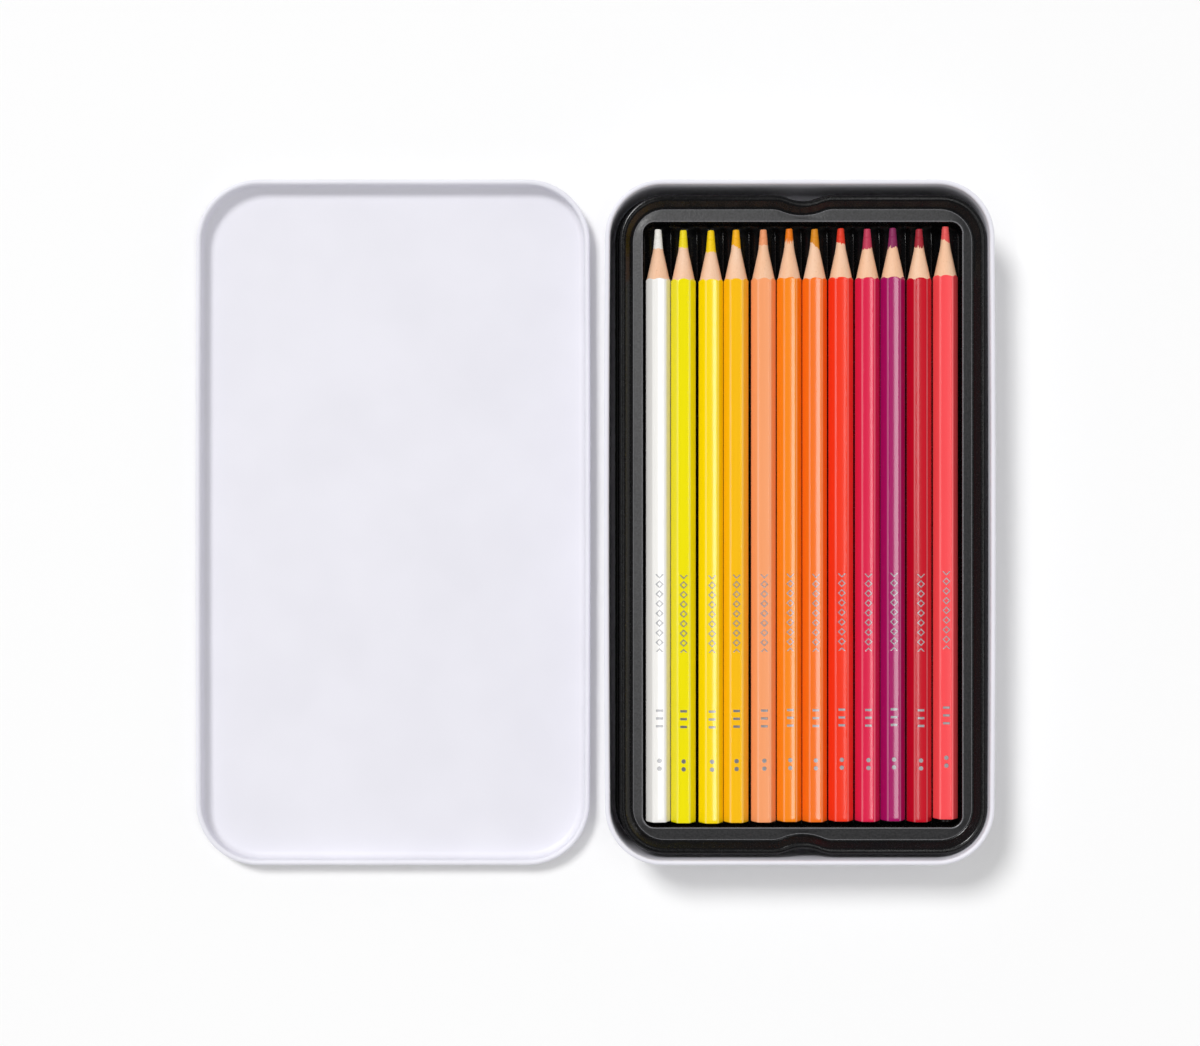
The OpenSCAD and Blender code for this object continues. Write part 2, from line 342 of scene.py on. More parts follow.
def make_foil_marks():
    """Marks on the upper flat: U runs across it and V along it, both in millimetres from the cut end."""
    tree, given, result = new_group("Foil marks", {"UV": VECTOR})
    split = add_node(tree, "ShaderNodeSeparateXYZ", {0: given["UV"]})
    across, along = split.outputs["X"], split.outputs["Y"]
    link = maths(tree, "PINGPONG", maths(tree, "SUBTRACT", along, CHAIN_START), LOZENGE_PITCH / 2)
    diamond = maths(tree, "ADD", maths(tree, "ABSOLUTE", across), link)
    chain = times(tree, band(tree, diamond, LOZENGE_SIZE, LOZENGE_LINE, FOIL_SOFT),
                  band(tree, along, CHAIN_MIDDLE, CHAIN_HALF, CUT_OFF))
    thirds = maths(tree, "PINGPONG", maths(tree, "SUBTRACT", along, BARS_MIDDLE), BARS_FOLD)
    bars = times(tree, band(tree, thirds, 0, BAR_THICK, FOIL_SOFT),
                 band(tree, along, BARS_MIDDLE, BARS_HALF, CUT_OFF))
    bars = times(tree, bars, band(tree, across, 0, BAR_LONG, FOIL_SOFT))
    from_dots = maths(tree, "ABSOLUTE", maths(tree, "SUBTRACT", along, DOTS_MIDDLE))
    pair = maths(tree, "SUBTRACT", from_dots, DOT_AWAY)
    squares = maths(tree, "ADD", times(tree, pair, pair), times(tree, across, across))
    dots = band(tree, maths(tree, "SQRT", squares), 0, DOT_RADIUS, FOIL_SOFT)
    all_marks = maths(tree, "MAXIMUM", chain, maths(tree, "MAXIMUM", bars, dots))
    tree.links.new(all_marks, result)
    return tree


edge_line = make_edge_line()
foil_marks = make_foil_marks()
print("groups:", [group.name for group in bpy.data.node_groups])

# %% [markdown]
# ## Lacquered tinplate
# The sheet is painted before it is drawn, in a satin white with a breath of lavender. Spray and roller
# leave a faint orange peel, and the gloss is a little less even than it looks.

# %% Tin material
def bump(tree, height, strength, distance):
    """A normal bumped by a height, where 1 stands for a distance in metres."""
    made = add_node(tree, "ShaderNodeBump", {"Strength": strength, "Distance": distance, "Height": height})
    return made.outputs["Normal"]


def linear(code):
    """A colour code such as f4e600 as linear RGBA."""
    parts = [int(code[i:i + 2], 16) / 255 for i in (0, 2, 4)]
    return [c / 12.92 if c <= 0.04045 else ((c + 0.055) / 1.055) ** 2.4 for c in parts] + [1]


def tint(tree, factor, first, second):
    """A colour between two, as a Mix node's output."""
    mixed = add_node(tree, "ShaderNodeMix", {"Factor": factor, 6: first, 7: second}, data_type="RGBA")
    return mixed.outputs[2]


tin_material, tree, shader, place = new_material("white_tinplate")
patches = use_group(tree, speckle, place, grain_size=0.03)
peel = use_group(tree, speckle, place, grain_size=0.0012, low=0.2, high=0.8)
feed(tree, shader, {"Base Color": tint(tree, patches, linear("e6e5ed"), linear("e9e8f0")),
                    "Roughness": remap(tree, patches, 0, 1, 0.42, 0.5),
                    "Normal": bump(tree, peel, 0.25, 0.00002)})
print("material:", tin_material.name)

# %% [markdown]
# ## Moulded black sheet
# The tray is drawn by vacuum over a mould. Where the sheet was stretched over the bead and into the
# grooves it shines. The flat ledge kept the grain of the mould and looks like fine leather. On the
# rounding between them a pale grey is painted into the colour: a painted highlight for the thin line of
# light that the edge catches. Three materials do that better than one with masks, since a finish changes
# along a moulded edge.

# %% Tray materials
def make_black(name, dark, light, roughness, grain_size, depth, wave, shine):
    """Black plastic between two tones and two roughnesses. wave adds broad waves to its bump."""
    material, tree, shader, place = new_material(name)
    spots = use_group(tree, speckle, place, grain_size=grain_size)
    waves = use_group(tree, speckle, place, grain_size=0.009)
    height = maths(tree, "MULTIPLY_ADD", waves, wave, spots)
    feed(tree, shader, {"Base Color": tint(tree, spots, linear(dark), linear(light)),
                        "Roughness": remap(tree, spots, 0, 1, *roughness),
                        "Specular IOR Level": shine, "Normal": bump(tree, height, 1.0, depth)})
    return material


gloss_black = make_black("black_gloss", "070708", "0c0c0e", (0.2, 0.28), 0.0006, 0.0000015, 8.0, 0.45)
grained_black = make_black("black_grain", "141416", "2e2e30", (0.5, 0.4), 0.0006, 0.00003, 0.0, 1.0)
# Painted highlight: a pale grey painted on the tray's edge roundings in place of the thin lines of light
# they catch.
painted_highlight_edge = make_black("black_painted_highlight", "636366", "7c7c80", (0.2, 0.3), 0.0003, 0.00001, 0.0, 0.5)
print("materials:", gloss_black.name, grained_black.name, painted_highlight_edge.name)

# %% [markdown]
# ## Meshes from sections and outlines
# Tin and trays are sheet: everywhere the same thin wall, whose section runs round a rounded outline.
# A Geometry Nodes tree does that: it bows the outline's long sides a little, as drawn tin does, and
# sweeps an open section along it. What stays open, the floor above and below, is filled afterwards.

# %% Outlines and sections
def arc(cx, cy, radius, start, end, steps):
    """Points of an arc, with its angles in degrees."""
    angles = np.radians(np.linspace(start, end, steps + 1))
    return [(cx + radius * math.cos(a), cy + radius * math.sin(a)) for a in angles]


def notch_arcs(half_l, half, depth, steps=10):
    """The finger notch in the far end of an outline, from right to left, as three tangent arcs."""
    turn = 2 * math.degrees(math.atan(depth / half))
    bend = half / (2 * math.sin(math.radians(turn)))
    dip = arc(0, half_l - depth + bend, bend, -90 + turn, -90 - turn, 2 * steps)
    return (arc(half, half_l - bend, bend, 90, 90 + turn, steps)[:-1] + dip
            + arc(-half, half_l - bend, bend, 90 - turn, 90, steps)[1:])


def rounded_outline(width, length, radius, steps=16, spacing=6.0, notch=None):
    """A rounded rectangle, counter-clockwise, with a finger notch in both short ends if one is given."""
    x, y = width / 2 - radius, length / 2 - radius
    half = arc(x, y, radius, 0, 90, steps)
    if notch:
        half += notch_arcs(length / 2, *notch)
    half += arc(-x, y, radius, 90, 180, steps)
    corners = half + [(-px, -py) for px, py in half]
    points = []
    for start, end in zip(corners, corners[1:] + corners[:1]):
        parts = max(1, math.ceil(math.dist(start, end) / spacing))
        points += [tuple(np.array(start) + (np.array(end) - start) * k / parts) for k in range(parts)]
    return points


def rounded_line(corners, steps=6):
    """An open line through (x, z, radius) corners, each turned into an arc of that radius."""
    points = [corners[0][:2]]
    for before, (x, z, radius), after in zip(corners, corners[1:], corners[2:]):
        into = Vector((x - before[0], z - before[1])).normalized()
        out = Vector((after[0] - x, after[1] - z)).normalized()
        turn = into.angle_signed(out, 0)
        if radius == 0 or abs(turn) < 1e-3:
            points.append((x, z))
            continue
        side = Vector((-into.y, into.x)) * (-1 if turn > 0 else 1)
        centre = Vector((x, z)) - into * radius * math.tan(abs(turn) / 2) + side * radius
        start = math.degrees(math.atan2(-side.y, -side.x))
        points += arc(*centre, radius, start, start - math.degrees(turn), steps)
    return points + [corners[-1][:2]]


print("outline:", len(rounded_outline(100, 200, 15)), "points")

# %% Curves and the sweep tree
def make_curve(name, points, closed):
    """A poly curve through points in metres."""
    curve = bpy.data.curves.new(name, "CURVE")
    curve.dimensions = "3D"
    spline = curve.splines.new("POLY")
    spline.points.add(len(points) - 1)
    spline.points.foreach_set("co", np.column_stack([points, np.ones(len(points))]).ravel())
    spline.use_cyclic_u = closed
    return add_object(name, curve)


def make_sweep():
    """Sweeps the Section object along the curve, whose points it first moves out by Bow half way."""
    sockets = {"Geometry": GEOMETRY, "Section": "NodeSocketObject", "Bow": 0.0, "Half Length": 0.1,
               "Middle": 0.0, "Material": "NodeSocketMaterial"}
    tree, given, result = new_group("Sheet sweep", sockets, "GeometryNodeTree", "Geometry", GEOMETRY)
    position = add_node(tree, "GeometryNodeInputPosition").outputs[0]
    split = add_node(tree, "ShaderNodeSeparateXYZ", {0: position}).outputs
    share = maths(tree, "DIVIDE", split["Y"], given["Half Length"])
    share = maths(tree, "MAXIMUM", maths(tree, "SUBTRACT", 1, times(tree, share, share)), 0)
    side = maths(tree, "SIGN", maths(tree, "SUBTRACT", split["X"], given["Middle"]))
    push = times(tree, times(tree, share, side), given["Bow"])
    offset = add_node(tree, "ShaderNodeCombineXYZ", {0: push}).outputs[0]
    bowed = add_node(tree, "GeometryNodeSetPosition", {"Geometry": given["Geometry"], "Offset": offset})
    upright = add_node(tree, "GeometryNodeSetCurveNormal", {0: bowed.outputs[0]}, mode="Z_UP")
    section = add_node(tree, "GeometryNodeObjectInfo", {"Object": given["Section"]}).outputs["Geometry"]
    swept = add_node(tree, "GeometryNodeCurveToMesh", {"Curve": upright.outputs[0],
                                                       "Profile Curve": section})
    real = add_node(tree, "GeometryNodeRealizeInstances", {0: swept.outputs[0]})
    dressed = add_node(tree, "GeometryNodeSetMaterial", {"Geometry": real.outputs[0],
                                                         "Material": given["Material"]})
    tree.links.new(dressed.outputs[0], result)
    return tree


def swept_mesh(outline, section, values):
    """A mesh of a section swept along an outline: one row of vertices for each point of the outline."""
    path = make_curve("path", [(x, y, 0) for x, y in outline], True)
    line = make_curve("section", [(out, -up, 0) for out, up in section], False)
    sweep_modifier = path.modifiers.new("sweep", "NODES")
    sweep_modifier.node_group = sweep
    names = {item.name: item.identifier for item in sweep.interface.items_tree if item.in_out == "INPUT"}
    for name, value in {"Section": line, **values}.items():
        sweep_modifier[names[name]] = value
    bpy.context.view_layer.update()
    mesh = bpy.data.meshes.new_from_object(path.evaluated_get(bpy.context.evaluated_depsgraph_get()))
    for spare in (path, line):
        bpy.data.objects.remove(spare)
    return mesh


sweep = make_sweep()
print("sweep inputs:", [item.name for item in sweep.interface.items_tree if item.in_out == "INPUT"])

# %% [markdown]
# The sweep leaves two open loops, one above and one below the sheet. A Delaunay triangulation fills them
# through any points we choose inside, and those carry the form of the floor: flat for the tin, grooved
# for the tray.

# %% Filling a loop, finishing a mesh
def fill_loop(build, loop, inner, heights, finish, edges=()):
    """Fills a loop of vertices with triangles, through inner (x, y) points at their heights."""
    ring = [(v.co.x / MM, v.co.y / MM) for v in loop]
    flat = [Vector(point) for point in ring + [(x / MM, y / MM) for x, y in inner]]
    around = [(k, (k + 1) % len(ring)) for k in range(len(ring))]
    around += [(len(ring) + a, len(ring) + b) for a, b in edges]
    placed, _, triangles, origins, _, _ = geometry.delaunay_2d_cdt(flat, around, [], 1, 1e-6)
    vertices = []
    for point, sources in zip(placed, origins):
        source = min(sources)
        if source < len(ring):
            vertices.append(loop[source])
            continue
        vertices.append(build.verts.new((point.x * MM, point.y * MM, heights[source - len(ring)])))
    for triangle in triangles:
        face = build.faces.new([vertices[k] for k in triangle])
        face.material_index = finish(face)


def finish_mesh(build, mesh, materials):
    """Writes a BMesh back, its faces turned outwards and smooth, and counts the edges left open."""
    bmesh.ops.recalc_face_normals(build, faces=build.faces)
    open_edges = [edge for edge in build.edges if not edge.is_manifold]
    mesh.materials.clear()
    for material in materials:
        mesh.materials.append(material)
    build.to_mesh(mesh)
    build.free()
    mesh.shade_smooth()
    return len(open_edges)


def dress(name, mesh, node, body):
    """Puts a mesh in the scene in place of a CAD node, on its body."""
    made = add_object(name, mesh)
    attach(made, body)
    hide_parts(node)


def lattice(low, high, spacing):
    """Evenly spaced values from low to high, no further apart than spacing."""
    return np.linspace(low, high, max(2, math.ceil((high - low) / spacing) + 1))


print("helpers ready")

# %% [markdown]
# ## The two tin pans
# Base and lid are drawn from one flat blank each. At the brim the raw edge is rolled outwards into an
# open curl, which stiffens the wall and hides the sharp edge. The base's wall leans in towards its foot.
# The long walls bow out, because the steel springs back where no corner holds it.

# %% Tin base and lid
SHEET = 0.35 * MM
# In millimetres: corner radius, bow of the long walls, how far they pass the CAD's box, diameter of the
# curl, lean of the wall, radius at its foot
PANS = {
    "tin_base": ("base", 16.7, 0.5, 0.2, 1.45, 0.5, 2.0),
    "tin_lid": ("lid", 18.65, 0.3, 0.15, 1.6, 0.0, 2.4),
}
FLOOR_START = 2.0 * MM
FLOOR_MARGIN = 2.0 * MM
FLOOR_SPACING = 5.0 * MM
OUTLINE_SPACING = 5.0 * MM
CORNER_STEPS = 16


def pan_section(height, curl, lean, fillet):
    """Section of a pan from under its floor, up its outside, round its curl and down to the floor."""
    foot = curl + lean - SHEET
    roll = height - curl / 2
    floor_at = -(foot + fillet)
    outside = [(floor_at - FLOOR_START, 0)] + arc(floor_at, fillet, fillet, -90, 0, 8)
    curl_inside = arc(-curl / 2, roll, curl / 2 - SHEET, 180, -90, 14)
    curl_outside = arc(-curl / 2, roll, curl / 2, -90, 180, 20)
    inside = arc(floor_at, fillet, fillet - SHEET, 0, -90, 8) + [(floor_at - FLOOR_START, SHEET)]
    return outside + curl_inside + curl_outside + inside


def make_pan(node, body, *sizes):
    """A pan of sheet in the CAD node's box, with its sizes in the order of PANS."""
    corner, bow, spring, curl, lean, fillet = (size * MM for size in sizes)
    low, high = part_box(node)
    middle = (low + high) / 2
    width = high.x - low.x - 2 * (bow - spring)
    length = high.y - low.y
    outline = rounded_outline(width, length, corner, CORNER_STEPS, OUTLINE_SPACING)
    outline = [(x + middle.x, y + middle.y) for x, y in outline]
    section = pan_section(high.z, curl, lean, fillet)
    mesh = swept_mesh(outline, section, {"Bow": bow, "Half Length": length / 2, "Middle": middle.x,
                                         "Material": tin_material})
    build = bmesh.new()
    build.from_mesh(mesh)
    swept = list(build.verts)
    inset = curl + lean - SHEET + fillet + FLOOR_START + FLOOR_MARGIN
    half_x = width / 2 - inset
    half_y = length / 2 - inset
    round_r = max(corner - inset, MM)
    inner = []
    for x in lattice(-half_x, half_x, FLOOR_SPACING):
        for y in lattice(-half_y, half_y, FLOOR_SPACING):
            reach = Vector((max(abs(x) - half_x + round_r, 0), max(abs(y) - half_y + round_r, 0)))
            if reach.length <= round_r:
                inner.append((x + middle.x, y + middle.y))
    count = len(section)
    for last, height in ((0, 0.0), (count - 1, SHEET)):
        loop = [swept[k * count + last] for k in range(len(outline))]
        fill_loop(build, loop, inner, [height] * len(inner), lambda face: 0)
    gaps = finish_mesh(build, mesh, [tin_material])
    dress(node + "_sheet", mesh, node, body)
    print(node, len(mesh.polygons), "faces,", gaps, "open edges")


for node, sizes in PANS.items():
    make_pan(node, *sizes)

# %% [markdown]
# ## The two pencil trays
# A warm black sheet is sucked down over a mould. It takes the twelve half-round grooves, steep well
# walls, a flat ledge, and a raised bead that ends in a skirt. Every edge is soft, since a sheet can't
# follow a sharp one. The rim is swept like the tin's wall. For the well we write the height of the sheet
# as a function of the place. From here on sizes are in millimetres, until a mesh is made.

# %% Tray sizes
TRAY_SHEET = 0.6
GROOVES = 12
LEDGE_SIDE = 3.2
LEDGE_END = 4.0
LEDGE_DROP = 2.2
BEAD_WIDE = 3.7
BEAD_FLAT = 1.6
BEAD_ROUND = 0.8
LEDGE_START = 1.0
LEDGE_BRIM = 0.35
LEDGE_TILT = math.tan(math.radians(8))
LEDGE_SINK = 0.42
SKIRT_UP = 1.6
TRAY_CORNER = 13.5
NOTCH = (9.0, 1.8)
WELL_CORNER = 3.5
GROOVE_PLAY = 0.28
CREST_DROP = 1.3
CREST_SOFT = 0.12
END_REACH = 6.5
END_SINK = 1.5
END_SOFTER = 0.5
BRIM_WIDER = 0.3
FOOT = 0.5
FOOT_WIDER = 0.9
FOOT_CHANGE = 3
TILTED = 1.2
LEDGE_RISE = 2.8
PITCH = 7.7165
PENCIL_WIDE = 7.436

groove_r = PENCIL_WIDE / 2 + GROOVE_PLAY
axis_z = groove_r + TRAY_SHEET
crest_z = axis_z - CREST_DROP
ledge_z = axis_z + LEDGE_RISE
tray_low, tray_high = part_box("upper_tray")
tray_w = (tray_high.x - tray_low.x) / MM
tray_l = (tray_high.y - tray_low.y) / MM
bead_z = (tray_high.z - tray_low.z) / MM
well_half_x = tray_w / 2 - BEAD_WIDE - LEDGE_SIDE
well_half_y = tray_l / 2 - BEAD_WIDE - LEDGE_END
print("tray:", round(tray_w, 2), round(tray_l, 2), round(bead_z, 2), "well:", round(well_half_x, 2),
      round(well_half_y, 2), "ledge at", round(ledge_z, 2))

# %% The well's height
DRAFT = math.tan(math.radians(3))


def well_depth_in(x, y):
    """How far (x, y) lies inside the outline of the well, negative outside it."""
    over_x = np.abs(x) - (well_half_x - WELL_CORNER)
    over_y = np.abs(y) - (well_half_y - WELL_CORNER)
    outside = np.hypot(np.maximum(over_x, 0), np.maximum(over_y, 0))
    return WELL_CORNER - outside - np.minimum(np.maximum(over_x, over_y), 0)


def groove_height(x, y, grow):
    """The grooves alone: half-round channels with soft crests, which sink near the pencils' points."""
    nearest = np.clip(np.round(x / PITCH - 0.5) + 0.5, 0.5 - GROOVES / 2, GROOVES / 2 - 0.5)
    off = np.abs(x - nearest * PITCH)
    radius = groove_r + grow
    channel = axis_z - np.sqrt(np.maximum(radius ** 2 - off ** 2, 0))
    crest = crest_z - grow
    near_end = np.clip(1 - (well_half_y - y) / END_REACH, 0, 1)
    crest = crest - END_SINK * near_end ** 2
    blend = CREST_SOFT + END_SOFTER * near_end
    return (channel + crest - np.sqrt((channel - crest) ** 2 + 4 * blend ** 2)) / 2


def well_height(x, y, grow):
    """The sheet over the ledge and the well. grow is 0 on top and the sheet's thickness underneath."""
    inward = well_depth_in(x, y) + grow
    top = ledge_z - grow
    floor = groove_height(x, y, grow)
    brim = LEDGE_BRIM + BRIM_WIDER * grow
    past_end = np.abs(y) - well_half_y - np.abs(x) + well_half_x
    endness = np.clip(past_end / FOOT_CHANGE + 0.5, 0, 1)
    foot = FOOT + FOOT_WIDER * endness * (y > 0)
    drop = (top - brim - floor - foot) * DRAFT
    over = top - (math.sqrt(brim) - np.sqrt(np.clip(-inward, 0, brim))) ** 2
    over -= LEDGE_TILT * np.clip(-inward - brim, 0, TILTED)
    wall = top - brim - inward / DRAFT
    low = floor + (np.sqrt(foot) - np.sqrt(np.clip(inward - drop, 0, foot))) ** 2
    return np.where(inward <= 0, over, np.where(inward <= drop, wall, low))


print("bottom of a groove:", round(float(well_height(np.array([PITCH / 2]), np.array([0.0]), 0)[0]), 2))

# %% The points that carry the well
# Insets of the loops round the well's edge: dense on the brim and at the wall's foot
RIM_STEPS = [-1.0, -0.8, -0.7, -0.6, -0.5, -0.38, -0.3, -0.18, -0.09, -0.03, 0.0, 0.1, 0.2, 0.3, 0.42,
             0.6, 0.85, 1.15, 1.5, 1.95]
GROOVE_TURN = 68
GROOVE_POINTS = 17
CREST_HALF = 0.06
END_ROWS = (2.3, 6.8, 12)
ROWS_FROM = 7
ROW_SPACING = 5.0


def groove_columns():
    """x of the rows of points along the grooves: dense round each channel and on each crest."""
    angles = np.radians(np.linspace(-GROOVE_TURN, GROOVE_TURN, GROOVE_POINTS))
    across = list(groove_r * np.sin(angles)) + [PITCH / 2 - CREST_HALF, PITCH / 2 + CREST_HALF]
    columns = [(i - (GROOVES - 1) / 2) * PITCH + dx for i in range(GROOVES) for dx in across]
    return np.array(sorted(columns))


def well_loop(inward, columns, rows):
    """One loop round the well's edge, with the lattice's columns and rows on its straight sides."""
    half_x = well_half_x - inward
    half_y = well_half_y - inward
    radius = WELL_CORNER - inward
    corner = arc(half_x - radius, half_y - radius, radius, 0, 90, 14)
    straight_x = columns[np.abs(columns) < half_x - radius - 0.05][::-1]
    straight_y = rows[np.abs(rows) < half_y - radius - 0.05]
    return ([(half_x, y) for y in straight_y] + corner + [(x, half_y) for x in straight_x]
            + [(-x, y) for x, y in corner[::-1]] + [(-half_x, y) for y in straight_y[::-1]]
            + [(-x, -y) for x, y in corner] + [(x, -half_y) for x in straight_x[::-1]]
            + [(x, -y) for x, y in corner[::-1]])


def well_points():
    """Points and edges to triangulate: loops round the well's edge, then a lattice inside them."""
    columns = groove_columns()
    near_end = well_half_y - np.linspace(*END_ROWS)
    between = lattice(ROWS_FROM - well_half_y, well_half_y - ROWS_FROM, ROW_SPACING)
    rows = np.concatenate([-near_end, between, near_end[::-1]])
    points, edges = [], []
    for inward in RIM_STEPS:
        loop = well_loop(inward, columns, rows)
        first = len(points)
        points += loop
        edges += [(first + k, first + (k + 1) % len(loop)) for k in range(len(loop))]
    grid_x, grid_y = np.meshgrid(columns, rows)
    grid = np.column_stack([grid_x.ravel(), grid_y.ravel()])
    keep = well_depth_in(grid[:, 0], grid[:, 1]) > RIM_STEPS[-1] + 0.12
    return np.concatenate([points, grid[keep]]), edges


well_xy, well_edges = well_points()
print("points in a well:", len(well_xy))

# %% Trays
GLOSS, LEDGE, EDGE = 0, 1, 2
TRAY_SPACING = 8
# From this far outside the well's edge, across its rounding, the sheet gets the painted highlight.
PAINTED_HIGHLIGHT_FROM = 0.05


def rim_section():
    """Section of the rim from under the ledge, down inside the skirt, up outside, over to the ledge."""
    slope_turn = math.atan2(LEDGE_DROP, BEAD_WIDE - BEAD_FLAT)
    shift = TRAY_SHEET * math.tan(slope_turn / 2)
    under = ledge_z - TRAY_SHEET
    bead_under = bead_z - TRAY_SHEET
    return rounded_line([
        (-BEAD_WIDE - LEDGE_START, under - LEDGE_SINK + LEDGE_START * LEDGE_TILT, 0),
        (-BEAD_WIDE + shift, under - LEDGE_SINK, 0.5),
        (-BEAD_FLAT + shift, bead_under, 0.4),
        (-TRAY_SHEET, bead_under, 0.2),
        (-TRAY_SHEET, SKIRT_UP, 0),
        (0, SKIRT_UP, 0),
        (0, bead_z, BEAD_ROUND),
        (-BEAD_FLAT, bead_z, 0.9),
        (-BEAD_WIDE, ledge_z - LEDGE_SINK, 0.8),
        (-BEAD_WIDE - LEDGE_START, ledge_z - LEDGE_SINK + LEDGE_START * LEDGE_TILT, 0),
    ], 6)


def make_tray(node):
    """A tray in the CAD node's box: the swept rim, then the well's two faces."""
    low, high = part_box(node)
    middle = (low + high) / 2
    outline = rounded_outline(tray_w, tray_l, TRAY_CORNER, CORNER_STEPS, TRAY_SPACING, NOTCH)
    outline = [(x * MM + middle.x, y * MM + middle.y) for x, y in outline]
    section = [(x * MM, z * MM + low.z) for x, z in rim_section()]
    mesh = swept_mesh(outline, section, {"Bow": 0.0, "Half Length": tray_l / 2 * MM, "Middle": middle.x,
                                         "Material": gloss_black})
    build = bmesh.new()
    build.from_mesh(mesh)
    swept = list(build.verts)
    count = len(section)
    # The last two strips of the rim: the grained ledge, and before it the rounding with the painted
    # highlight.
    strips = {count - 2: LEDGE, count - 3: EDGE}
    for face in build.faces:
        strip = min(v.index % count for v in face.verts)
        face.material_index = strips.get(strip, GLOSS)
    inner = [(x * MM + middle.x, y * MM + middle.y) for x, y in well_xy]

    def on_ledge(face):
        """The finish of a face: grained outside the rounding of the well's edge, a painted highlight on
        it.
        """
        x, y, _ = (face.calc_center_median() - middle) / MM
        inward = well_depth_in(x, y)
        if inward < -LEDGE_BRIM:
            return LEDGE
        return EDGE if inward < -PAINTED_HIGHLIGHT_FROM else GLOSS

    for last, grow in ((0, TRAY_SHEET), (count - 1, 0.0)):
        loop = [swept[k * count + last] for k in range(len(outline))]
        heights = well_height(well_xy[:, 0], well_xy[:, 1], grow) * MM + low.z
        fill_loop(build, loop, inner, heights, on_ledge, well_edges)
    gaps = finish_mesh(build, mesh, [gloss_black, grained_black, painted_highlight_edge])
    dress(node + "_moulding", mesh, node, node)
    print(node, len(mesh.polygons), "faces,", gaps, "open edges")


make_tray("upper_tray")
make_tray("lower_tray")

# %% [markdown]
# ## Pencil materials
# A pencil has three finishes: gloss lacquer with its stamped foil, bare cedar, and waxy pigment, which
# the sharpener also smears over the tip of the wood. One function makes the twenty-four lacquers from the
# record's colours. They read the pencil's own UV map, in millimetres round the casing and along it, so
# that the foil sits on the upper flat.

# %% Lacquers
FOIL_SILVER = linear("d8d8dc")
FOIL_RIM = linear("4a4a4e")
FOIL_ROUGH = 0.3
FOIL_HEIGHT = 0.00002
LACQUER_ROUGH = 0.16
COAT_ROUGH = 0.07
DULL_SHINE = 0.2
# How far the painted highlight on the pencils' corners goes towards white.
PAINTED_EDGE_HIGHLIGHT = 0.28
STREAK_DARKER = 0.93
PEEL_SHARE = 0.12


def shade(colour, factor):
    """A linear colour darkened by a factor."""
    return [c * factor for c in colour[:3]] + [1]


def make_lacquer(name, base):
    """Gloss lacquer of one colour, with a painted highlight on the corners and foil marks on the upper
    flat.
    """
    material, tree, shader, place = new_material(name + "_lacquer")
    uv = add_node(tree, "ShaderNodeUVMap", uv_map="pencil").outputs["UV"]
    line = use_group(tree, edge_line, uv, spacing=flat_spacing, width=0.05, soft=0.35)
    foil = use_group(tree, foil_marks, uv)
    runs = use_group(tree, grain, place, across=700.0, along=25.0)
    peel = use_group(tree, speckle, place, grain_size=0.0009)
    # Painted highlight: the lacquer is painted paler along each corner, for the lines of light the corners
    # catch.
    pale = [c + (1 - c) * PAINTED_EDGE_HIGHLIGHT for c in base[:3]] + [1]
    colour = tint(tree, times(tree, line, 0.5), base, pale)
    colour = tint(tree, times(tree, runs, 0.5), colour, shade(base, STREAK_DARKER))
    rim = times(tree, foil, maths(tree, "SUBTRACT", 1.3, foil))
    silver = tint(tree, rim, FOIL_SILVER, FOIL_RIM)
    height = maths(tree, "SUBTRACT", times(tree, peel, PEEL_SHARE), foil)
    feed(tree, shader, {"Base Color": tint(tree, foil, colour, silver), "Metallic": foil,
                        "Roughness": remap(tree, foil, 0, 1, LACQUER_ROUGH, FOIL_ROUGH),
                        "Specular IOR Level": DULL_SHINE, "Coat Weight": 1.0,
                        "Coat Roughness": COAT_ROUGH, "Normal": bump(tree, height, 0.5, FOIL_HEIGHT)})
    return material


print("foil and lacquer ready")

# %% Wood and pigment
WOOD_ROUGH = 0.62
PIGMENT_ROUGH = 0.48
SPOT_DARKER = 0.88


def make_wood():
    """Bare cedar as the sharpener leaves it, with fine grain and a few darker pores."""
    material, tree, shader, place = new_material("bare_cedar")
    plank = use_group(tree, grain, place, across=130.0, along=1.0)
    broad = use_group(tree, grain, place, across=700.0, along=60.0)
    fine = use_group(tree, grain, place, across=5000.0, along=250.0)
    pores = use_group(tree, speckle, place, grain_size=0.0005, low=0.62, high=0.75)
    colour = tint(tree, plank, linear("f2b78c"), linear("f6d3b8"))
    for mask, share, code in ((broad, 0.4, "f3cda8"), (fine, 0.35, "dfa57c"), (pores, 0.3, "b98460")):
        colour = tint(tree, times(tree, mask, share), colour, linear(code))
    feed(tree, shader, {"Base Color": colour, "Roughness": WOOD_ROUGH,
                        "Normal": bump(tree, fine, 0.6, 0.00004)})
    return material


def make_pigment(name, base):
    """Waxy pigment: dull, with fine darker speckles."""
    material, tree, shader, place = new_material(name + "_pigment")
    spots = use_group(tree, speckle, place, grain_size=0.0004)
    feed(tree, shader, {"Base Color": tint(tree, spots, base, shade(base, SPOT_DARKER)),
                        "Roughness": PIGMENT_ROUGH, "Specular IOR Level": DULL_SHINE,
                        "Normal": bump(tree, spots, 0.5, 0.00003)})
    return material


cedar = make_wood()
print("material:", cedar.name)

# %% [markdown]
# ## The pencils
# A pencil is two slats of cedar glued round a core, milled to a hexagon, dipped in lacquer, stamped and
# sharpened. We build it from rings of vertices. Each column of a ring may have its own distance from the
# point. That is how the ragged line between pigment and wood, and the scalloped line where the blade left
# the lacquer, become real edges.

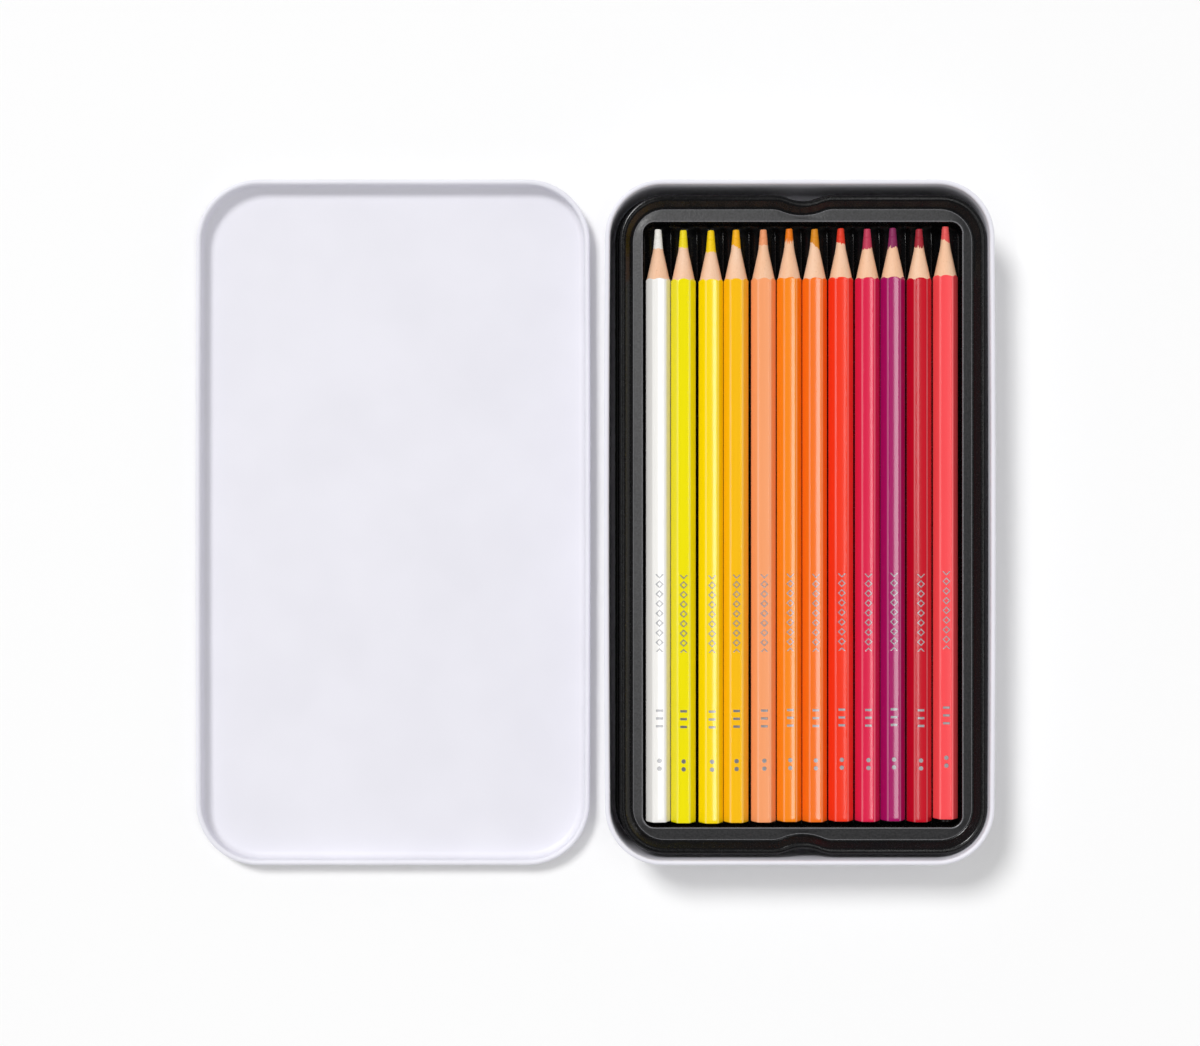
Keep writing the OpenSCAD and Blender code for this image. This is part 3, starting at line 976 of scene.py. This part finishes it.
# %% Pencil sizes
PENCIL_FLATS = (casing_high.z - casing_low.z) / MM
HEX_SIDE = PENCIL_FLATS / math.sqrt(3)
CORNER_ROUND = 1.2
CROWN = 0.018
CORE_R = 1.45
BORE_R = 1.48
TIP_R = 0.95
BARE_CORE = 6.1
WOOD_SLOPE = math.tan(math.radians(12.2))
SHOULDER_R = 3.3
SHOULDER_SLOPE = math.tan(math.radians(30))
LIP_AT = 2.6
END_ROUND = 0.35
FACE_STEPS = 5
ARC_STEPS = 6
SIXTH = math.radians(60)
TWELFTH = math.radians(30)

casing_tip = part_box("white_pencil_core")[1].y
PENCIL_LONG = (casing_tip - casing_low.y) / MM
print("pencil:", round(PENCIL_LONG, 1), "mm long")


def turned(x, z, turn):
    """A point turned clockwise about the pencil's axis."""
    return np.array((x * math.cos(turn) + z * math.sin(turn), z * math.cos(turn) - x * math.sin(turn)))


def hexagon():
    """(x, z) of each column of vertices round the pencil, from the middle of its upper flat on."""
    apothem = PENCIL_FLATS / 2
    half_flat = HEX_SIDE / 2 - CORNER_ROUND * math.tan(TWELFTH)
    centre_r = (apothem - CORNER_ROUND) / math.cos(TWELFTH)
    points = []
    for side in range(6):
        turn = side * SIXTH
        for k in range(FACE_STEPS + 1):
            along = half_flat * (2 * k / FACE_STEPS - 1)
            out = apothem - CROWN * (along / half_flat) ** 2
            points.append(turned(along, out, turn))
        for k in range(1, ARC_STEPS):
            on_arc = turned(0, CORNER_ROUND, turn + SIXTH * k / ARC_STEPS)
            points.append(turned(0, centre_r, turn + TWELFTH) + on_arc)
    start = FACE_STEPS // 2 + 1
    return points[start:] + points[:start]


columns = np.array(hexagon())
column_r = np.hypot(columns[:, 0], columns[:, 1])
column_angle = np.arctan2(columns[:, 0], columns[:, 1])
steps_round = np.hypot(*(np.roll(columns, -1, axis=0) - columns).T)
girth = steps_round.sum()
flat_spacing = girth / 6
way_round = columns[0, 0] + np.concatenate([[0], np.cumsum(steps_round)[:-1]])
print("columns:", len(columns), "widest:", round(2 * columns[:, 0].max(), 3), "girth:", round(girth, 2))

# %% Rings of the casing
LACQUER, CEDAR, PIGMENT = 0, 1, 2
FILM = 0.008
SMEAR_SHARES = (0.2, 0.45, 0.75)
WOOD_SHARES = (0, 0.12, 0.3, 0.5, 0.7, 0.88)
BODY_RINGS = (16.2, 17.5, 24, 45, 80, 120, 150, 168, 173.5)
SMEAR_TEETH = 24
SMEAR_END = 8.5
PAINT_TEETH = 16
PAINT_SIZE = 0.06
BORE_START = 1.5
BORE_RIM = 1.4


def cone_r(s):
    """Radius of the sharpened cone at s from the point: first bare core, then wood."""
    core = TIP_R + (CORE_R - TIP_R) * s / BARE_CORE
    wood = CORE_R + (s - BARE_CORE) * WOOD_SLOPE
    return np.where(s < BARE_CORE, core, wood)


def ragged(generator, size, teeth):
    """A ragged value for each column: a few sines round the pencil with random phases."""
    waves = np.arange(3, teeth + 1)
    phases = generator.uniform(0, 2 * math.pi, len(waves))
    sines = np.sin(np.outer(column_angle, waves) + phases) / np.sqrt(waves)
    return size * sines.sum(axis=1)


def casing_rings(generator, bare, slant, teeth):
    """(distance from the point, radius, finish of what follows) of each ring, per column."""
    rings = []

    def add_ring(at, radius, finish):
        """A ring, whose distance and radius may be one number or a value for each column."""
        rings.append((at * np.ones(len(columns)), radius * np.ones(len(columns)), finish))

    shoulder = BARE_CORE + (SHOULDER_R - CORE_R) / WOOD_SLOPE
    smear = bare + slant * np.sin(column_angle) + ragged(generator, teeth, SMEAR_TEETH)
    smear = np.clip(smear, LIP_AT + 0.3, SMEAR_END)
    bevel = (column_r - SHOULDER_R) / SHOULDER_SLOPE
    painted = np.clip(0.7 * bevel + ragged(generator, PAINT_SIZE, PAINT_TEETH), 0.02, bevel * 0.95)
    add_ring(LIP_AT, cone_r(LIP_AT) + 0.001, PIGMENT)
    add_ring(LIP_AT, cone_r(LIP_AT) + 0.002, PIGMENT)
    for share in SMEAR_SHARES:
        at = LIP_AT + (smear - LIP_AT) * share
        add_ring(at, cone_r(at) + FILM, PIGMENT)
    for share in WOOD_SHARES:
        at = smear + (shoulder - smear) * share
        add_ring(at, cone_r(at) + FILM * (1 - share), CEDAR)
    add_ring(shoulder, SHOULDER_R, CEDAR)
    for reach in (painted, bevel * 0.97):
        add_ring(shoulder + reach, SHOULDER_R + reach * SHOULDER_SLOPE, LACQUER)
    add_ring(shoulder + bevel, column_r, LACQUER)
    add_ring(shoulder + bevel + 0.1, column_r, LACQUER)
    for at in BODY_RINGS:
        add_ring(at, column_r, LACQUER)
    for angle in np.radians(np.linspace(0, 90, 6)):
        inwards = END_ROUND * (1 - math.cos(angle))
        at = PENCIL_LONG - END_ROUND * (1 - math.sin(angle))
        add_ring(at, column_r - inwards, LACQUER if angle < 1.2 else CEDAR)
    add_ring(PENCIL_LONG, BORE_R * BORE_RIM, CEDAR)
    add_ring(PENCIL_LONG, BORE_R, CEDAR)
    add_ring(BARE_CORE + BORE_START, BORE_R, CEDAR)
    add_ring(BARE_CORE, CORE_R + 0.003, PIGMENT)
    return rings


print("rings in a casing:", len(casing_rings(np.random.default_rng(1), 5.5, 0, 0.2)))

# %% Meshes of casing and core
def tube_mesh(name, rings, angles, place, materials, closed_ends):
    """A mesh of rings round Y: closed on itself, or closed by a face at each end."""
    middle_x, point_y, middle_z = place
    rows = [np.column_stack([middle_x + radius * np.sin(angles), point_y - at,
                             middle_z + radius * np.cos(angles)]) for at, radius, _ in rings]
    count, around = len(rings), len(angles)
    faces, finishes = [], []
    for ring in range(count - 1 if closed_ends else count):
        first = ring * around
        after = (ring + 1) % count * around
        for k in range(around):
            next_k = (k + 1) % around
            faces.append((first + k, first + next_k, after + next_k, after + k))
            finishes.append(rings[ring][2])
    if closed_ends:
        faces.append(tuple(range(around)))
        faces.append(tuple(range((count - 1) * around, count * around)))
        finishes += [rings[0][2], rings[-1][2]]
    mesh = bpy.data.meshes.new(name)
    mesh.from_pydata(np.concatenate(rows) * MM, [], faces)
    mesh.polygons.foreach_set("material_index", finishes)
    build = bmesh.new()
    build.from_mesh(mesh)
    gaps = finish_mesh(build, mesh, materials)
    assert gaps == 0, name
    return mesh


def add_pencil_uv(mesh, rings):
    """Millimetres round the casing from the middle of its upper flat, and along it from its cut end."""
    around = len(columns)
    uv = mesh.uv_layers.new(name="pencil")
    for face in mesh.polygons:
        ways = [way_round[v % around] for v in face.vertices]
        across_seam = max(ways) - min(ways) > girth / 2
        middle = sum(ways) / len(ways)
        for loop, v, way in zip(face.loop_indices, face.vertices, ways):
            if (way if across_seam else middle) > girth / 2:
                way -= girth
            uv.data[loop].uv = (way, PENCIL_LONG - float(rings[v // around][0][v % around]))


print("mesh helpers ready")

# %% [markdown]
# No two pencils lie quite alike. Each row gives, for a pencil of the upper tray, how many degrees it has
# rolled and how far it has slid across its groove, and how the sharpener left its point: how much pigment
# shows, how slanted that line is, and how ragged. The lower layer draws its own values from a seed. The
# core is a second tube of rings, a little worn to one side at its point.

# %% Build the pencils
FIRST_SEED = 100
CORE_COLUMNS = 48
WEAR = 0.05
# Distance from the point, radius, and how much of the wear each ring of the core takes
CORE_PROFILE = [(0.09, TIP_R * 0.45, 0.4), (0.11, TIP_R * 0.82, 1), (0.22, TIP_R * 0.97, 1),
                (0.4, TIP_R + 0.02, 0), (BARE_CORE / 2, (TIP_R + CORE_R) / 2, 0), (BARE_CORE, CORE_R, 0),
                (PENCIL_LONG - 0.1, CORE_R, 0), (PENCIL_LONG - 0.02, CORE_R - 0.08, 0),
                (PENCIL_LONG - 0.02, CORE_R / 2, 0)]
UPPER = {
    "white": (5.2, 0.0, 5.9, 0.0, 0.10),
    "lemon": (-1.0, -0.26, 5.4, 0.15, 0.22),
    "yellow": (3.1, 0.16, 6.6, 0.0, 0.15),
    "golden": (-1.0, -0.12, 5.2, 0.7, 0.12),
    "peach": (0.5, 0.24, 4.8, 0.0, 0.12),
    "orange": (1.2, 0.14, 4.0, 0.1, 0.45),
    "tangerine": (1.0, -0.05, 5.1, 1.2, 0.10),
    "scarlet": (-0.6, -0.05, 4.6, 0.4, 0.18),
    "magenta": (-0.9, 0.08, 6.1, -0.3, 0.14),
    "plum": (-0.7, -0.12, 5.9, 0.0, 0.40),
    "crimson": (1.3, -0.05, 5.6, 0.0, 0.34),
    "coral": (-3.5, 0.0, 4.5, 0.7, 0.14),
}
colours = {m["slot"]: list(m["base_color"]) + [1] for m in frame["record"]["materials"]}
names = [name[:-len("_pencil")] for name in frame["bodies"] if name.endswith("_pencil")]


def make_pencil(name, seed):
    """A pencil's casing and core, on its own body and in its own two colours."""
    generator = np.random.default_rng(seed)
    guessed = (generator.uniform(-3, 3), generator.uniform(-0.1, 0.1), generator.uniform(4.5, 6.5),
               generator.uniform(-0.5, 0.5), 0.2)
    roll, aside, bare, slant, teeth = UPPER.get(name, guessed)
    body = name + "_pencil"
    low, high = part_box(body + "_casing")
    point_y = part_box(body + "_core")[1].y / MM
    place = ((low.x + high.x) / 2 / MM + aside, point_y, (low.z + high.z) / 2 / MM)
    lacquer = make_lacquer(name, colours[name + "_lacquer"])
    pigment = make_pigment(name, colours[name + "_pigment"])
    rings = casing_rings(generator, bare, slant, teeth)
    angles = column_angle + math.radians(roll)
    mesh = tube_mesh(body + "_casing", rings, angles, place, [lacquer, cedar, pigment], False)
    add_pencil_uv(mesh, rings)
    dress(body + "_wood", mesh, body + "_casing", body)
    angles = np.linspace(0, 2 * math.pi, CORE_COLUMNS, endpoint=False)
    worn = WEAR * np.sin(angles + generator.uniform(0, 6))
    core_rings = [(at + share * worn, np.full(CORE_COLUMNS, radius), 0)
                  for at, radius, share in CORE_PROFILE]
    mesh = tube_mesh(body + "_core", core_rings, angles, place, [pigment], True)
    dress(body + "_lead", mesh, body + "_core", body)


for number, name in enumerate(names):
    make_pencil(name, FIRST_SEED + number)
print("pencils:", len(names))
